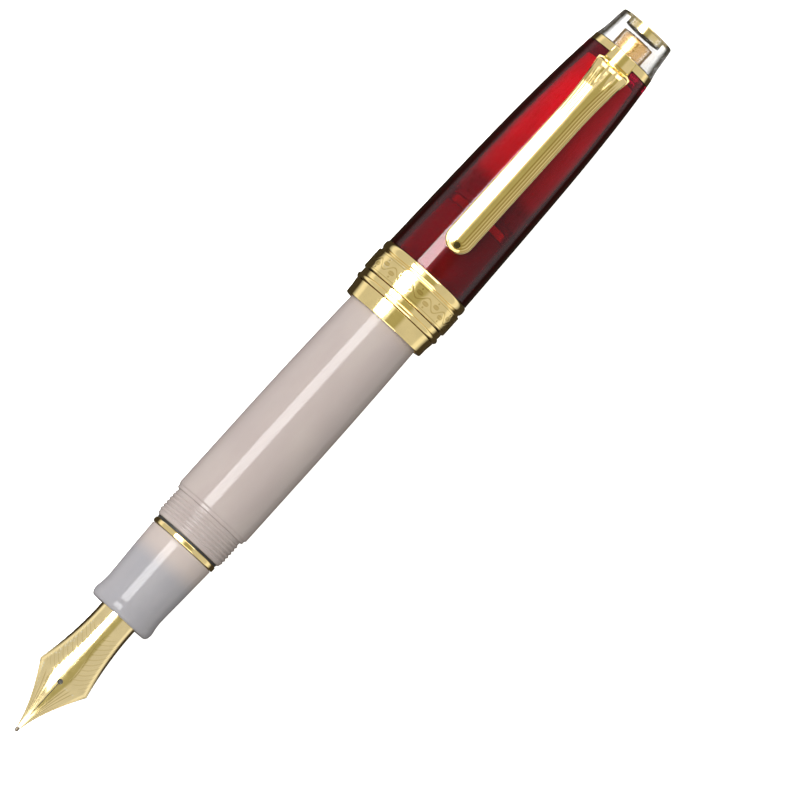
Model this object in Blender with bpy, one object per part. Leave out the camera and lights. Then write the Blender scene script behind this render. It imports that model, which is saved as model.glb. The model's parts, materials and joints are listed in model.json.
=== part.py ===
"""Fountain pen with its cap pushed on the back of the barrel, lying along X with the clip up.

The nib points to -X and the finial to +X. The origin is under the middle of the pen, on the surface
that the cap's wide band rests on. Lengths below are in millimetres and are turned into metres where
the meshes are made. Each group of pieces is drawn from its own starting point on the pen's axis.
"""

from math import cos, pi, radians, sin, sqrt

import bmesh
import bpy
from mathutils import Vector

MM = 0.001
SIDES = 20            # sides of a turned piece
SMALL_SIDES = 16      # sides of a turned piece inside the converter
GAP = 0.1             # clearance between pieces that touch

# Driving dimensions.
NIB_LENGTH = 22.6         # from the tip to the face of the grip
GRIP_LENGTH = 13.85
RING_WIDTH = 0.85
WASHER_WIDTH = 0.3
BARREL_RADIUS = 6.56
BARREL_END_RADIUS = 5.4   # where it meets the tail ring
BARREL_STEP = 5.4         # from the barrel's mouth to its full thickness
BODY_LENGTH = 66.2        # from that step to the end of the tail
TAIL_LENGTH = 8.6         # the tail's ring and cap
CAP_LENGTH = 58.5
CAP_MOUTH_AT = 80.6       # from the nib's tip to the mouth of the posted cap
BAND_RADIUS = 7.79
LEAD = 0.8                # thread of the grip, per turn

# Starting points of the groups, measured along the axis from the tip of the nib.
GRIP_AT = NIB_LENGTH
RING_AT = GRIP_AT + GRIP_LENGTH + GAP
WASHER_AT = RING_AT + RING_WIDTH + GAP / 2
BARREL_AT = WASHER_AT + WASHER_WIDTH + GAP / 2
BARREL_LENGTH = BARREL_STEP + BODY_LENGTH
TAIL_RING_AT = BARREL_AT + BARREL_LENGTH - TAIL_LENGTH
CONVERTER_AT = BARREL_AT + 1.2
PEN_LENGTH = CAP_MOUTH_AT + CAP_LENGTH

# Resin walls and bores, as radii.
BARREL_BORE = 4.95
TAIL_BORE = 4.05
GRIP_FRONT_BORE = 3.5
GRIP_REAR_BORE = 4.55
CONNECTOR_RADIUS = 4.4
CONNECTOR_CREST = 4.75
CONNECTOR_BORE = 3.75
CAP_SLEEVE_RADIUS = 6.95
CAP_BORE = 6.42
STUD_RADIUS = 1.8
STUD_HOLE = STUD_RADIUS + GAP
STUD_HEAD_RADIUS = 2.6
FINIAL_START = 53.25      # from the mouth of the cap

# The clip, as heights over the axis and places along the cap.
CLIP_START = 14.15
CLIP_END = 53.0
CLIP_PIVOT_AT = 52.4
CLIP_PIVOT_HEIGHT = 6.2

# Converter, measured from its mouth.
CONVERTER_LENGTH = 60.7
BAND_START = 40.0
KNOB_START = 48.0
SEAL_START = 9.0
SEAL_LENGTH = 4.0

# Colours: (red, green, blue), roughness, metallic, transmission.
LOOKS = {
    "gold": ((0.83, 0.62, 0.28), 0.18, 1.0, 0.0),
    "nib_gold": ((0.86, 0.68, 0.34), 0.2, 1.0, 0.0),
    "iridium": ((0.72, 0.71, 0.68), 0.3, 1.0, 0.0),
    "steel": ((0.62, 0.61, 0.6), 0.25, 1.0, 0.0),
    "rose_grey_resin": ((0.55, 0.47, 0.45), 0.15, 0.0, 0.0),
    "smoky_resin": ((0.42, 0.42, 0.44), 0.12, 0.0, 0.4),
    "red_resin": ((0.3, 0.01, 0.02), 0.08, 0.0, 0.5),
    "red_liner": ((0.45, 0.01, 0.02), 0.3, 0.0, 0.0),
    "clear_resin": ((0.95, 0.95, 0.95), 0.04, 0.0, 0.9),
    "black_plastic": ((0.02, 0.02, 0.02), 0.45, 0.0, 0.0),
    "black_rubber": ((0.03, 0.03, 0.03), 0.7, 0.0, 0.0),
}


# ---- Scene and placing ----------------------------------------------------------------------------

def clear_scene():
    for item in list(bpy.data.objects):
        bpy.data.objects.remove(item, do_unlink=True)


def look(piece, kind):
    """Give a piece its own material."""
    colour, roughness, metallic, transmission = LOOKS[kind]
    material = bpy.data.materials.new(piece.name + "_material")
    material.use_nodes = True
    shader = material.node_tree.nodes["Principled BSDF"]
    shader.inputs["Base Color"].default_value = (*colour, 1.0)
    shader.inputs["Roughness"].default_value = roughness
    shader.inputs["Metallic"].default_value = metallic
    shader.inputs["Transmission Weight"].default_value = transmission
    piece.data.materials.append(material)


def guide(name, along, parent=None, height=0.0):
    """An empty on the axis, `along` millimetres from its parent's place; the first one is on the world."""
    empty = bpy.data.objects.new(name, None)
    bpy.context.collection.objects.link(empty)
    empty.location = (along * MM, 0.0, height * MM)
    empty.parent = parent
    return empty


def finish(name, mesh, parent, kind):
    """Link the mesh as a named piece under its group's empty, shaded smooth up to its sharp edges."""
    piece = bpy.data.objects.new(name, mesh)
    bpy.context.collection.objects.link(piece)
    piece.parent = parent
    mesh.shade_smooth()
    mesh.set_sharp_from_angle(angle=radians(35))
    look(piece, kind)
    return piece


# ---- Outlines: lists of (place along the axis, radius) ------------------------------------------

def arc(along, radius, size, start, end, steps=4):
    """Points on a circle of the given size; angles in degrees, 0 along the axis, 90 outwards."""
    turn = radians(end - start) / steps
    first = radians(start)
    angles = [first + turn * step for step in range(steps + 1)]
    return [(along + size * cos(angle), radius + size * sin(angle)) for angle in angles]


def bead(start, end, base, height, steps=6):
    """A half-ellipse that stands `height` over the base radius."""
    middle = (start + end) / 2
    half = (end - start) / 2
    angles = [pi - pi * step / steps for step in range(steps + 1)]
    return [(middle + half * cos(angle), base + height * sin(angle)) for angle in angles]


def thread(start, turns, pitch, root, crest):
    """Parallel V ridges that stand for a thread."""
    points = []
    for turn in range(turns):
        at = start + turn * pitch
        points += [(at, root), (at + pitch / 2, crest)]
    return points + [(start + turns * pitch, root)]


def smooth(points, steps):
    """A cubic curve through the points, each span cut into `steps`."""
    last = len(points) - 1
    slopes = []
    for index in range(last + 1):
        before = points[max(index - 1, 0)]
        after = points[min(index + 1, last)]
        slopes.append((after[1] - before[1]) / (after[0] - before[0]))
    curve = []
    for index in range(last):
        (x0, r0), (x1, r1) = points[index], points[index + 1]
        span = x1 - x0
        for step in range(steps):
            u = step / steps
            rise = (3 * u * u - 2 * u ** 3) * (r1 - r0)
            lean = (u - 2 * u * u + u ** 3) * slopes[index] + (u ** 3 - u * u) * slopes[index + 1]
            curve.append((x0 + u * span, r0 + rise + lean * span))
    curve.append(points[last])
    return curve


# ---- Shapes ---------------------------------------------------------------------------------------

def outward_mesh(name, bm):
    """Turn the faces outwards and hand over the finished mesh."""
    bmesh.ops.recalc_face_normals(bm, faces=bm.faces)
    if bm.calc_volume(signed=True) < 0.0:
        bmesh.ops.reverse_faces(bm, faces=bm.faces)
    mesh = bpy.data.meshes.new(name)
    bm.to_mesh(mesh)
    bm.free()
    return mesh


def turned(name, outline, parent, kind, sides=SIDES):
    """Spin an outline round the X axis. Flats, not corners, lie at the outline's radii and face down.

    An outline whose first and last points are on the axis makes a solid piece; any other is a closed
    loop round the section of a ring or tube.
    """
    corner = 1.0 / cos(pi / sides)
    bm = bmesh.new()
    ring = []
    for along, radius in outline:
        side = radius * corner * sin(pi / sides)
        up = radius * corner * cos(pi / sides)
        ring.append(bm.verts.new((along * MM, side * MM, up * MM)))
    edges = [bm.edges.new(pair) for pair in zip(ring, ring[1:])]
    if outline[0][1] > 0.0:
        edges.append(bm.edges.new((ring[-1], ring[0])))
    bmesh.ops.spin(bm, geom=ring + edges, cent=(0, 0, 0), axis=(1, 0, 0), dvec=(0, 0, 0), angle=2 * pi,
                   steps=sides, use_merge=True)
    bmesh.ops.remove_doubles(bm, verts=bm.verts, dist=1e-7)
    return finish(name, outward_mesh(name, bm), parent, kind)


def lofted(name, sections, parent, kind):
    """Join rings of points, all with the same count, and close both ends."""
    bm = bmesh.new()
    rings = [[bm.verts.new(Vector(point) * MM) for point in section] for section in sections]
    count = len(rings[0])
    for near, far in zip(rings, rings[1:]):
        for index in range(count):
            following = (index + 1) % count
            bm.faces.new((near[index], near[following], far[following], far[index]))
    bm.faces.new(list(reversed(rings[0])))
    bm.faces.new(rings[-1])
    bmesh.ops.triangulate(bm, faces=bm.faces)
    return finish(name, outward_mesh(name, bm), parent, kind)


def blend(along, points):
    """The value at `along` on straight lines between (place, value) points."""
    for (x0, v0), (x1, v1) in zip(points, points[1:]):
        if along <= x1:
            return v0 + (v1 - v0) * max(along - x0, 0.0) / (x1 - x0)
    return points[-1][1]


# ---- Barrel ---------------------------------------------------------------------------------------

def make_barrel(parent):
    """Resin tube: cap threads, a step, a long taper and a rear bore that takes the tail cap's spigot."""
    taper_start = BARREL_STEP + 13.0
    ring_start = TAIL_RING_AT - BARREL_AT - GAP
    sag = BARREL_RADIUS - BARREL_END_RADIUS
    bow = ((ring_start - taper_start) ** 2 + sag ** 2) / (2 * sag)
    taper_steps = 8
    taper = []
    for step in range(taper_steps + 1):
        along = (ring_start - taper_start) * step / taper_steps
        taper.append((taper_start + along, BARREL_RADIUS - bow + sqrt(bow * bow - along * along)))
    outside = [(0.0, 5.75), (0.15, 5.9)]
    outside += thread(0.4, turns=6, pitch=0.66, root=5.98, crest=6.22)
    outside += [(4.65, 6.05), (4.85, 6.36), (BARREL_STEP, 6.36)]
    outside += [(BARREL_STEP + 0.25, BARREL_RADIUS - 0.05), (BARREL_STEP + 0.6, BARREL_RADIUS)] + taper
    inside = [(ring_start, TAIL_BORE), (ring_start - 5.0, TAIL_BORE), (ring_start - 16.0, 4.6)]
    inside += [(12.0, 4.75), (10.5, BARREL_BORE), (0.0, BARREL_BORE)]
    turned("barrel", outside + inside, parent, "rose_grey_resin")


def make_tail(parent):
    """The ring and the tail cap, whose spigot goes through the ring into the barrel."""
    ring_width = 1.45
    ring = [(0.0, 5.32), (0.2, 5.45), (ring_width - 0.2, 5.4), (ring_width, 5.27)]
    ring += [(ring_width, TAIL_BORE), (0.0, TAIL_BORE)]
    turned("tail_ring", ring, parent, "gold")
    start = ring_width + GAP
    edge = 1.1
    end_radius = 4.62
    spigot = TAIL_BORE - GAP
    spigot_start = -3.0
    knob_room = 3.3
    knob_room_end = 5.6
    cap = [(start, spigot), (start, 5.24)]
    cap += smooth([(start + 0.15, 5.25), (4.2, 4.98), (TAIL_LENGTH - edge, end_radius)], 2)
    cap += arc(TAIL_LENGTH - edge, end_radius - edge, edge, 76, 0) + [(TAIL_LENGTH, 0.0)]
    bore = [(knob_room_end, 0.0), (knob_room_end, knob_room), (spigot_start, knob_room), (spigot_start, spigot)]
    turned("tail_cap", bore + cap, parent, "rose_grey_resin")


# ---- Grip -----------------------------------------------------------------------------------------

def make_grip(parent):
    """The grip, with a rounded flared lip, and the threaded sleeve fixed in its back."""
    lip = [(0.0, 4.9), (0.35, 5.3), (1.25, 5.45), (2.4, 5.27), (3.6, 5.2), (8.0, 5.38), (GRIP_LENGTH, 5.6)]
    bore = [(GRIP_LENGTH, GRIP_REAR_BORE), (9.2, GRIP_REAR_BORE), (8.9, GRIP_FRONT_BORE)]
    bore += [(0.5, GRIP_FRONT_BORE), (0.0, GRIP_FRONT_BORE + 0.5)]
    turned("grip_section", smooth(lip, 2) + bore, parent, "smoky_resin")


def make_connector(parent):
    """Sleeve with male threads for the barrel, and a nipple that the converter plugs on."""
    front = 9.5
    threads_start = BARREL_AT - GRIP_AT + 0.5
    end = threads_start + 8 * LEAD + 0.4
    web = BARREL_AT - GRIP_AT - 0.2
    nipple_end = web + 4.6
    outside = [(front, 3.9), (front + 0.4, CONNECTOR_RADIUS), (threads_start - 0.1, CONNECTOR_RADIUS)]
    outside += thread(threads_start, turns=8, pitch=LEAD, root=4.45, crest=CONNECTOR_CREST)
    outside += [(end, 4.4), (end, CONNECTOR_BORE)]
    inside = [(web + 0.9, CONNECTOR_BORE), (web + 0.9, 1.4), (nipple_end - 0.4, 1.4), (nipple_end, 1.2)]
    inside += [(nipple_end, 0.8), (web, 0.8), (web - 0.3, 3.1), (front, 3.1)]
    turned("section_connector", outside + inside, parent, "rose_grey_resin")


def make_section_ring(parent):
    inner = CONNECTOR_RADIUS + GAP
    edge = 0.14
    outline = [(0.0, 5.64), (edge, 5.78), (RING_WIDTH - edge, 5.78), (RING_WIDTH, 5.64)]
    turned("section_ring", outline + [(RING_WIDTH, inner), (0.0, inner)], parent, "gold")


def make_washer(parent):
    """Thin seal at the barrel's mouth; the sleeve's threads pass through it."""
    inner = CONNECTOR_CREST + 1.5 * GAP
    outline = [(0.0, 5.66), (WASHER_WIDTH, 5.66), (WASHER_WIDTH, inner), (0.0, inner)]
    turned("section_washer", outline, parent, "black_rubber")


# ---- Nib and feed ---------------------------------------------------------------------------------

NIB_START = 0.85          # where the tines end and the tipping begins
NIB_END = 29.5            # its tail inside the grip
NIB_THICKNESS = 0.36
NIB_SHOULDER = 10.55
WAIST_LENGTH = 11.4
TIP_HALF_WIDTH = 0.3
SHOULDER_HALF_WIDTH = 4.56
BASE_HALF_WIDTH = 3.25
NIB_RIDGE = 3.3           # height of the ridge over the axis inside the grip
NIB_BEND_AT = 16.5        # where the ridge begins to fall towards the tip
NIB_BEND = 0.0105
BREATHER_AT = 9.75
BREATHER_RADIUS = 0.42
HALF_SLIT = 0.06


def nib_half_width(along):
    """Half the width: tines that swell to sharp shoulders, then a waist that narrows into the grip."""
    if along < NIB_SHOULDER:
        return TIP_HALF_WIDTH + (SHOULDER_HALF_WIDTH - TIP_HALF_WIDTH) * (along / NIB_SHOULDER) ** 1.5
    waist = min((along - NIB_SHOULDER) / WAIST_LENGTH, 1.0)
    return BASE_HALF_WIDTH + (SHOULDER_HALF_WIDTH - BASE_HALF_WIDTH) * (1.0 - waist) ** 1.9


def nib_half_angle(along):
    """How far the plate wraps round, in degrees each side of the top."""
    return blend(along, [(0.0, 20.0), (4.0, 40.0), (NIB_SHOULDER, 60.0), (20.0, 80.0), (30.0, 80.0)])


def nib_top(along):
    """Height of the nib's ridge over the pen's axis."""
    return NIB_RIDGE - NIB_BEND * max(NIB_BEND_AT - along, 0.0) ** 2


def nib_arc(along, inset, steps, half_angle=None):
    """Points across the nib, `inset` below its outer face, from its left edge to its right edge."""
    wrap = radians(nib_half_angle(along))
    radius = nib_half_width(along) / sin(wrap)
    centre = nib_top(along) - radius
    sweep = wrap if half_angle is None else min(radians(half_angle), wrap)
    angles = [sweep * (1.0 - 2.0 * step / steps) for step in range(steps + 1)]
    size = max(radius - inset, 0.12)
    return [(along, size * sin(angle), centre + size * cos(angle)) for angle in angles]


def make_nib(parent):
    """Curved gold plate with a slit from the breather hole to the tip."""
    places = [NIB_START, 2.0, 3.5, 5.0, 6.5, 8.0, 9.2, NIB_SHOULDER, 11.2, 12.5, 14.0, 16.0, 18.5, 21.0, 25.0]
    places.append(NIB_END)
    sections = []
    for along in places:
        thickness = blend(along, [(0.0, 0.3), (4.0, NIB_THICKNESS), (30.0, NIB_THICKNESS)])
        sections.append(nib_arc(along, 0.0, 10) + list(reversed(nib_arc(along, thickness, 10))))
    nib = lofted("nib", sections, parent, "nib_gold")
    cut(nib, slit_cutter(parent))


def slit_cutter(parent):
    """A thin blade joined to a round post: the slit and the breather hole."""
    depth = 6.0
    post_sides = 12
    mouth = radians(12)
    outline = [(-1.0, -HALF_SLIT), (-1.0, HALF_SLIT)]
    for step in range(post_sides + 1):
        angle = pi - mouth - (2 * pi - 2 * mouth) * step / post_sides
        outline.append((BREATHER_AT + BREATHER_RADIUS * cos(angle), BREATHER_RADIUS * sin(angle)))
    lower = [(x, y, -depth) for x, y in outline]
    upper = [(x, y, depth) for x, y in outline]
    cutter = lofted("slit_cutter", [lower, upper], parent, "steel")
    cutter.hide_render = True
    cutter.display_type = "WIRE"
    return cutter


def cut(piece, cutter):
    modifier = piece.modifiers.new("cut", "BOOLEAN")
    modifier.operation = "DIFFERENCE"
    modifier.solver = "EXACT"
    modifier.object = cutter


def make_tipping(parent):
    """Pellet of hard metal, a little longer than it is wide, at the very tip."""
    half = (NIB_START - 0.05) / 2
    radius = 0.36
    centre = 0.14
    steps = 6
    outline = [(half * (1.0 - cos(pi * step / steps)), radius * sin(pi * step / steps)) for step in range(steps + 1)]
    outline[0] = (0.0, 0.0)
    outline[-1] = (2 * half, 0.0)
    pellet = turned("nib_tipping", outline, parent, "iridium", sides=12)
    pellet.location.z = centre * MM


def make_feed(parent):
    """Ink feed: a wedge under the tines, comb fins under the shoulders and a stem inside the grip."""
    clearance = NIB_THICKNESS + GAP
    steps = 8

    def section(along, half_angle, depth):
        top = nib_arc(along, clearance, steps, half_angle)
        half_width = top[0][1]
        edge_height = top[0][2]
        bottom = []
        for step in range(1, steps):
            angle = pi * step / steps
            drop = edge_height + depth
            bottom.append((along, -half_width * cos(angle), edge_height - drop * sin(angle)))
        return top + bottom

    sections = [section(3.2, 14, -0.55), section(5.5, 22, 0.5), section(8.0, 34, 1.6), section(10.6, 46, 2.5)]
    fins = 7
    fin_pitch = 1.35
    for fin in range(fins):
        at = 11.0 + fin * fin_pitch
        sections += [section(at, 50, 2.55), section(at + 0.02, 56, 3.0), section(at + 0.6, 56, 3.05)]
        sections.append(section(at + 0.62, 50, 2.55))
    sections += [section(20.8, 60, 3.2), section(30.4, 60, 3.2)]
    lofted("feed", sections, parent, "black_plastic")


# ---- Cap ------------------------------------------------------------------------------------------

def make_cap_tube(parent):
    """Red resin: a thin sleeve under the bands, a tapering outside, and a closed top with a hole."""
    bands_end = 9.85
    top = 51.8
    outside = [(0.7, CAP_SLEEVE_RADIUS), (bands_end, CAP_SLEEVE_RADIUS), (bands_end, 7.4)]
    outside += smooth([(bands_end + 0.1, 7.46), (23.4, 7.13), (35.7, 6.73), (44.6, 6.22), (top, 5.6)], 3)
    inside = [(top, STUD_HOLE), (50.3, STUD_HOLE), (50.3, 4.55)]
    inside += smooth([(45.5, 5.15), (35.5, 5.75), (22.4, 6.0)], 1)
    inside += [(21.8, 6.2), (12.0, 6.35), (8.0, CAP_BORE)]
    ridges = thread(3.2, turns=3, pitch=0.8, root=CAP_BORE, crest=6.2)
    inside += list(reversed(ridges)) + [(0.7, CAP_BORE)]
    turned("cap_tube", outside + inside, parent, "red_resin")


def make_inner_cap(parent):
    """Liner that keeps the nib from drying; its boss takes the finial's stud."""
    roof = 47.6
    top = 50.0
    outside = smooth([(22.6, 5.86), (35.4, 5.6), (45.4, 4.95)], 2) + [(top, 4.4)]
    boss = [(top, STUD_HOLE), (roof + 0.5, STUD_HOLE), (roof + 0.5, 1.2), (roof, 1.2)]
    inside = smooth([(roof, 4.0), (36.0, 4.95), (30.0, 5.2)], 2) + [(22.6, 5.52)]
    turned("inner_cap", outside + boss + inside, parent, "red_liner")


def make_bands(parent):
    """Three gold rings from the mouth: the plain lip, a bead with a groove, and the wide band."""
    inner = CAP_SLEEVE_RADIUS + GAP
    lip = smooth([(0.1, 7.2), (1.4, 7.28), (2.65, 7.46)], 2) + [(2.65, inner), (0.6, inner), (0.6, CAP_BORE)]
    turned("cap_lip_ring", [(0.0, 7.1)] + lip + [(0.0, CAP_BORE)], parent, "gold")
    thin = bead(2.75, 3.6, 7.45, 0.29) + [(3.8, 7.5), (4.45, 7.52)]
    turned("cap_thin_band", thin + [(4.45, inner), (2.75, inner)], parent, "gold")
    wide = [(4.55, 7.6), (4.7, BAND_RADIUS), (7.95, BAND_RADIUS), (8.1, 7.52), (8.3, 7.5)]
    wide += bead(8.4, 9.75, 7.45, 0.26)
    turned("cap_band", wide + [(9.75, inner), (4.55, inner)], parent, "gold")


def make_clip_ring(parent):
    start = 51.9
    end = 53.15
    outline = [(start, 5.5), (start + 0.12, 5.57), (end - 0.12, 5.5), (end, 5.4)]
    turned("clip_ring", outline + [(end, STUD_HOLE), (start, STUD_HOLE)], parent, "gold")


def make_finial(parent):
    """Clear puck on the head of the stud, which clamps the clip ring; a disc sits in the puck's end."""
    start = FINIAL_START
    head_end = 56.2
    end = CAP_LENGTH
    edge = 0.85
    disc_radius = 3.0
    disc_start = 57.2
    recess = disc_radius + GAP
    outside = smooth([(start, 5.36), (54.6, 5.06), (end - edge, 4.72)], 2)
    outside += arc(end - edge, 4.72 - edge, edge, 72, 0)
    top = [(end, recess), (disc_start - GAP, recess), (disc_start - GAP, 0.0)]
    head_room = STUD_HEAD_RADIUS + GAP
    bore = [(head_end + GAP, 0.0), (head_end + GAP, head_room), (start, head_room)]
    turned("finial", bore + outside + top, parent, "clear_resin")
    disc = [(disc_start, 0.0), (disc_start, disc_radius), (end - 0.15, disc_radius), (end, disc_radius - 0.15)]
    turned("finial_medallion", disc + [(end, 0.0)], parent, "gold")
    stud = [(48.2, 0.0), (48.2, STUD_RADIUS), (start, STUD_RADIUS), (start, STUD_HEAD_RADIUS)]
    stud += [(head_end, STUD_HEAD_RADIUS), (head_end, 0.0)]
    turned("finial_stud", stud, parent, "gold")


def make_clip(parent):
    """Long bar with a rounded free end, a contact pad under it, and a flared root over the ring."""
    tops = [(CLIP_START, 8.2), (15.3, 8.75), (17.0, 9.15), (20.0, 9.35), (30.0, 9.2), (40.0, 8.55), (46.0, 7.8)]
    tops += [(49.0, 7.3), (50.6, 6.9), (51.0, 6.5), (CLIP_END, 6.35)]
    undersides = [(CLIP_START, 7.75), (15.3, 7.5), (17.0, 7.45), (20.0, 7.95), (30.0, 7.85), (40.0, 7.35)]
    undersides += [(46.0, 6.75), (49.0, 6.2), (50.6, 5.85), (51.0, 5.8), (CLIP_END, 5.72)]
    widths = [(50.6, 3.0), (50.9, 2.3), (CLIP_END, 2.1)]
    half_width = 2.22
    flare_start = 40.0
    sections = []
    places = [CLIP_START + 0.05, 14.5, 15.0, 15.6, 16.3, 17.0, 18.5, 20.0, 25.0, 30.0, 35.0, 40.0, 43.0, 46.0, 48.0]
    places += [49.4, 50.6, 50.9, CLIP_END]
    for along in places:
        top = blend(along, tops)
        under = blend(along, undersides)
        width = half_width
        if along < CLIP_START + half_width:
            away = 1.0 - (along - CLIP_START) / half_width
            width = half_width * sqrt(1.0 - away * away)
        elif along > 50.6:
            width = blend(along, widths)
        elif along > flare_start:
            width = half_width + 0.8 * ((along - flare_start) / 10.6) ** 2
        sections.append(clip_section(along, width, under, top))
    pivot = (CLIP_PIVOT_AT, 0.0, CLIP_PIVOT_HEIGHT)
    local = [[tuple(a - b for a, b in zip(point, pivot)) for point in section] for section in sections]
    lofted("clip", local, parent, "gold")


def clip_section(along, width, under, top):
    """Flat underneath, straight sides and a crowned top."""
    depth = top - under
    shoulder = under + 0.62 * depth
    crown = under + 0.9 * depth
    right = [(width, under), (width, shoulder), (0.72 * width, crown), (0.3 * width, top)]
    left = [(-across, height) for across, height in reversed(right)]
    return [(along, across, height) for across, height in right + left]


# ---- Converter ------------------------------------------------------------------------------------

TUBE_START = 5.2
TUBE_BORE = 2.75
TUBE_RADIUS = 3.2
SEAL_STROKE = 17.0
ROD_RADIUS = 1.45


def make_converter(parent):
    """The fixed pieces: mouth, tube, band and the bush that guides the rod."""
    mouth = [(0.0, 1.55), (0.0, 3.4), (0.3, 3.6), (TUBE_START - GAP, 3.6), (TUBE_START - GAP, TUBE_BORE - GAP)]
    mouth += [(7.8, TUBE_BORE - GAP), (7.8, 1.2), (4.4, 1.2), (4.4, 1.55)]
    turned("converter_mouth", mouth, parent, "black_plastic", sides=SMALL_SIDES)
    tube = [(TUBE_START, TUBE_BORE), (TUBE_START, TUBE_RADIUS), (43.5, TUBE_RADIUS), (43.5, TUBE_BORE)]
    turned("converter_tube", tube, parent, "clear_resin", sides=SMALL_SIDES)
    bush = [(40.2, 1.6), (40.2, TUBE_BORE - GAP), (43.6, TUBE_BORE - GAP), (43.6, 3.1), (47.0, 3.1)]
    bush += [(47.0, 2.2), (KNOB_START + 1.6, 2.2), (KNOB_START + 1.6, 1.6)]
    turned("converter_bush", bush, parent, "black_plastic", sides=SMALL_SIDES)
    inner = TUBE_RADIUS + GAP
    band = [(BAND_START, inner), (BAND_START, 3.55), (BAND_START + 0.2, 3.62), (46.8, 3.62), (47.0, 3.55)]
    turned("converter_band", band + [(47.0, inner)], parent, "steel", sides=SMALL_SIDES)


def make_knob(parent):
    """Hollow knob with gripping rings, and the screw fixed in its end."""
    length = CONVERTER_LENGTH - KNOB_START
    outside = [(0.0, 2.7), (0.2, 2.9)] + thread(1.0, turns=6, pitch=1.6, root=2.9, crest=2.75)
    outside += [(length - 0.4, 2.9), (length, 2.6)]
    bore = [(length, 0.95), (length - 1.0, 0.95), (length - 1.0, 1.7), (1.9, 1.7), (1.9, 2.3), (0.0, 2.3)]
    turned("converter_knob", outside + bore, parent, "black_plastic", sides=SMALL_SIDES)
    spindle = [(-12.0, 0.0), (-12.0, 0.5)] + thread(-11.6, turns=8, pitch=2.4, root=0.62, crest=0.8)
    spindle += [(length - 0.1, 0.8), (length - 0.1, 0.0)]
    turned("converter_spindle", spindle, parent, "steel", sides=SMALL_SIDES)


def make_piston(parent):
    """The rod, bored from behind for the screw, and the seal round its front end."""
    length = 33.3
    rod = [(0.0, 0.0), (0.0, 1.3), (SEAL_LENGTH + 0.1, 1.3), (SEAL_LENGTH + 0.1, ROD_RADIUS), (length, ROD_RADIUS)]
    rod += [(length, 0.95), (6.0, 0.95), (6.0, 0.0)]
    turned("piston_rod", rod, parent, "clear_resin", sides=SMALL_SIDES)
    edge = TUBE_BORE - 0.08
    seal = [(0.3, 1.4), (0.3, edge), (1.0, edge), (1.4, 2.4), (2.6, 2.4), (3.0, edge), (SEAL_LENGTH, edge)]
    turned("piston_seal", seal + [(SEAL_LENGTH, 1.4)], parent, "black_rubber", sides=SMALL_SIDES)


# ---- The pen --------------------------------------------------------------------------------------

def main():
    clear_scene()
    tip = guide("pen_axis", -PEN_LENGTH / 2, height=BAND_RADIUS)
    barrel = guide("barrel_axis", BARREL_AT, tip)
    make_barrel(barrel)
    make_tail(guide("tail_axis", TAIL_RING_AT, tip))
    make_washer(guide("washer_axis", WASHER_AT, tip))
    make_section_ring(guide("ring_axis", RING_AT, tip))
    section = guide("section_axis", GRIP_AT, tip)
    make_grip(section)
    make_connector(section)
    nib = guide("nib_axis", 0.0, tip)
    make_nib(nib)
    make_tipping(nib)
    make_feed(nib)
    converter = guide("converter_axis", CONVERTER_AT, tip)
    make_converter(converter)
    make_knob(guide("knob_axis", KNOB_START, converter))
    make_piston(guide("piston_axis", SEAL_START, converter))
    cap = guide("cap_axis", CAP_MOUTH_AT, tip)
    make_cap_tube(cap)
    make_inner_cap(cap)
    make_bands(cap)
    make_clip_ring(cap)
    make_finial(cap)
    make_clip(guide("clip_pivot", CLIP_PIVOT_AT, cap, height=CLIP_PIVOT_HEIGHT))


main()
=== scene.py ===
"""The looks of a fountain pen whose cap is pushed on the back of its barrel.

Every CAD node is replaced by a finer piece of the same size in the same place. Lengths are in millimetres
and are turned into metres where the meshes are made; each group of pieces starts at a place on the pen's
axis that is read from the frame.
"""

import json
from math import atan2, cos, hypot, pi, radians, sin, sqrt, tan

import bmesh
import bpy
from mathutils import Matrix, Vector


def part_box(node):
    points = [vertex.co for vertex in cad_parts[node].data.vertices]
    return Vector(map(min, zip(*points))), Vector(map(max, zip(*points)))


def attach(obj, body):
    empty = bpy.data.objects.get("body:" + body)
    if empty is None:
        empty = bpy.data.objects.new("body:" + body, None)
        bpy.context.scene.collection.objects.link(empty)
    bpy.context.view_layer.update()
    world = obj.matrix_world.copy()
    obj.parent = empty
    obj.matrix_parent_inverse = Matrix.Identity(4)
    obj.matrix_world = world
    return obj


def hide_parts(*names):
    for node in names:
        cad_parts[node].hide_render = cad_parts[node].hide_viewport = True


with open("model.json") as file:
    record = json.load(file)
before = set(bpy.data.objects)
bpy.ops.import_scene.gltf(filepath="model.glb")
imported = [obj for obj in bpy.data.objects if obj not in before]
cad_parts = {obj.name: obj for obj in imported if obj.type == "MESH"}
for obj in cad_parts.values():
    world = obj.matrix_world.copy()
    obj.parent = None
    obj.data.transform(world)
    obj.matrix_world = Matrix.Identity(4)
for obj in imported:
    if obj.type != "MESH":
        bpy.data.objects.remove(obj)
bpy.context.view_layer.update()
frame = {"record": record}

MM = 0.001
SIDES = 96
GAP = 0.1

RECORD = frame["record"]
BODY_OF = {node: body for body, nodes in RECORD["behaviour"]["bodies"].items() for node in nodes}
BAND_LOW, BAND_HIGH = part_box("cap_band")
AXIS_HEIGHT = (BAND_LOW.z + BAND_HIGH.z) / 2
BAND_RADIUS = (BAND_HIGH.y - BAND_LOW.y) / 2 / MM


def start_of(node):
    """Where a node begins along the pen, in metres."""
    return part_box(node)[0].x


def length_of(node):
    low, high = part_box(node)
    return (high.x - low.x) / MM


# ---- Outlines: lists of (place along the axis, radius) -------------------------------------------

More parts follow.
